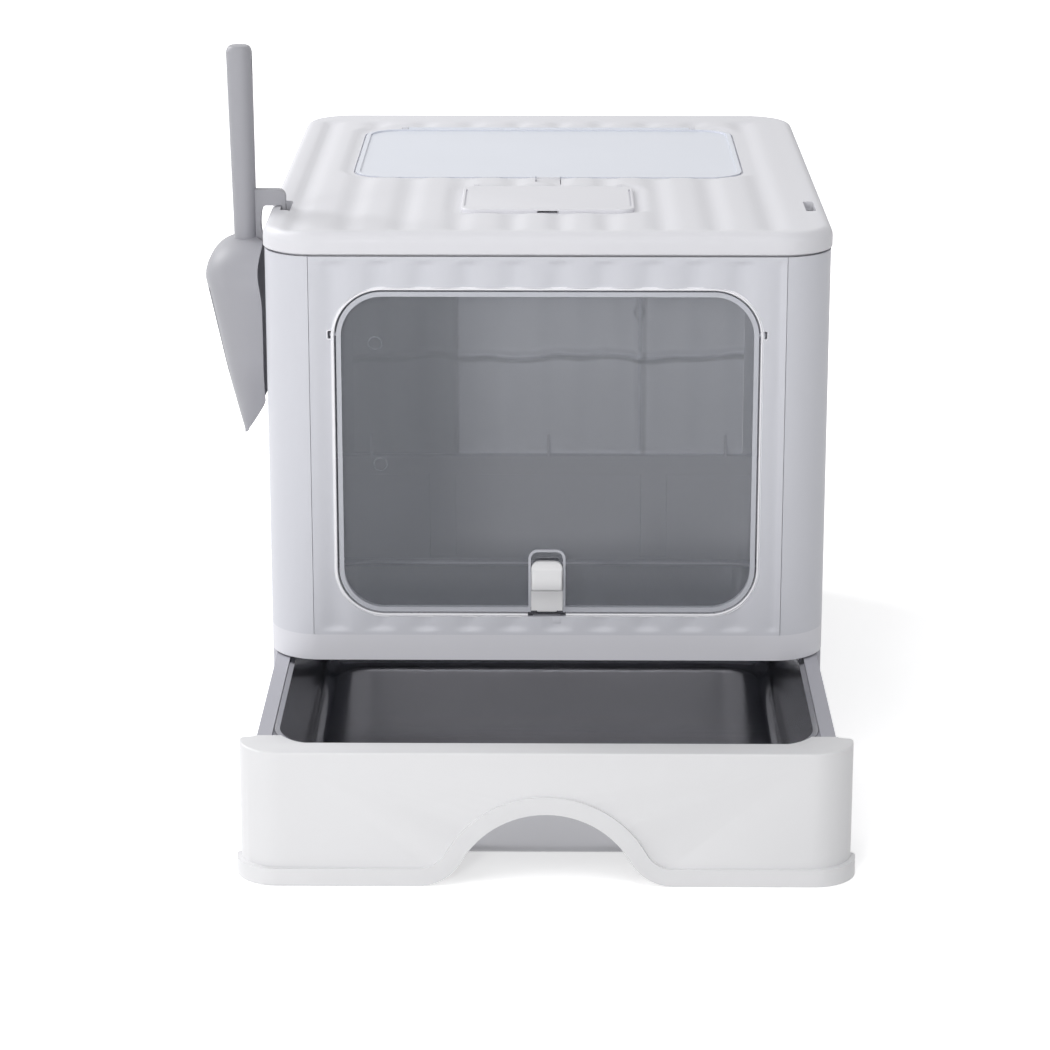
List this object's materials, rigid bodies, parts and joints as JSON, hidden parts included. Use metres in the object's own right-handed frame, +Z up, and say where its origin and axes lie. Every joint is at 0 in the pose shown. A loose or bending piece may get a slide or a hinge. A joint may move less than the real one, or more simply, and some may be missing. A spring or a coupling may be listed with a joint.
{
  "type": "drawer litter box",
  "caption": "Enclosed cat litter box with corrugated walls, swinging clear door, top hatch, pocket flap, hung scoop and a pull-out drawer holding a steel pan.",
  "frame": {"origin": "centre of the lower housing's underside, on the surface that the box stands on", "axes": "+X to the right seen from the front, +Y to the back, +Z up; the drawer pulls out along -Y"},
  "size_m": [0.4687, 0.723, 0.5358],
  "materials": {
    "grey_pp": "fine satin moulded polypropylene",
    "wall_pp": "satin moulded polypropylene",
    "lid_pp": "satin moulded polypropylene",
    "clear_plastic": "clear polished",
    "frosted_plastic": "translucent, lightly frosted",
    "white_abs": "white satin moulded",
    "scoop_pp": "mid grey satin moulded",
    "rail_pp": "light grey satin moulded",
    "pan_steel": "satin stainless steel",
    "steel_pin": "plain steel"
  },
  "bodies": {
    "housing": {"base_shell": "grey_pp", "collar_ring": "grey_pp", "left_wall": "wall_pp", "right_wall": "wall_pp", "rear_wall": "wall_pp", "front_panel": "wall_pp"},
    "door": {"door_pane": "clear_plastic"},
    "door_latch": {"latch_slider": "white_abs", "latch_backplate": "white_abs"},
    "lid": {"lid": "lid_pp", "pocket_tray": "lid_pp", "hatch_hinge_pins": "steel_pin", "flap_hinge_pins": "steel_pin"},
    "hatch": {"hatch_panel": "frosted_plastic"},
    "hatch_catch": {"hatch_catch": "lid_pp"},
    "flap": {"flap_cover": "lid_pp"},
    "scoop": {"scoop": "scoop_pp"},
    "drawer": {"drawer_front": "white_abs", "drawer_frame": "rail_pp", "drawer_screws": "steel_pin", "litter_pan": "pan_steel"}
  },
  "joints": [
    {"name": "drawer_slide", "type": "slide", "parent": "housing", "child": "drawer", "axis": [0, -1, 0], "range_m": [-0.199, 0.2]},
    {"name": "door_swing", "type": "hinge", "parent": "housing", "child": "door", "pos_m": [0, -0.2565, 0.3425], "axis": [1, 0, 0], "range_deg": [-85, 85]},
    {"name": "latch_slide", "type": "slide", "parent": "door", "child": "door_latch", "axis": [0, 0, 1], "range_m": [-0.0036, 0.0065]},
    {"name": "lid_lift", "type": "slide", "parent": "housing", "child": "lid", "axis": [0, 0, 1], "range_m": [0, 0.12]},
    {"name": "hatch_hinge", "type": "hinge", "parent": "lid", "child": "hatch", "pos_m": [0, 0.1972, 0.4144], "axis": [-1, 0, 0], "range_deg": [0, 110]},
    {"name": "catch_flex", "type": "hinge", "parent": "lid", "child": "hatch_catch", "pos_m": [0, -0.0576, 0.4134], "axis": [-1, 0, 0], "range_deg": [0, 5], "stiffness_Nm_per_rad": 0.5},
    {"name": "flap_hinge", "type": "hinge", "parent": "lid", "child": "flap", "pos_m": [0, -0.0773, 0.4155], "axis": [-1, 0, 0], "range_deg": [0, 100]},
    {"name": "scoop_lift", "type": "slide", "parent": "lid", "child": "scoop", "axis": [0, 0, 1], "range_m": [0, 0.05]}
  ]
}
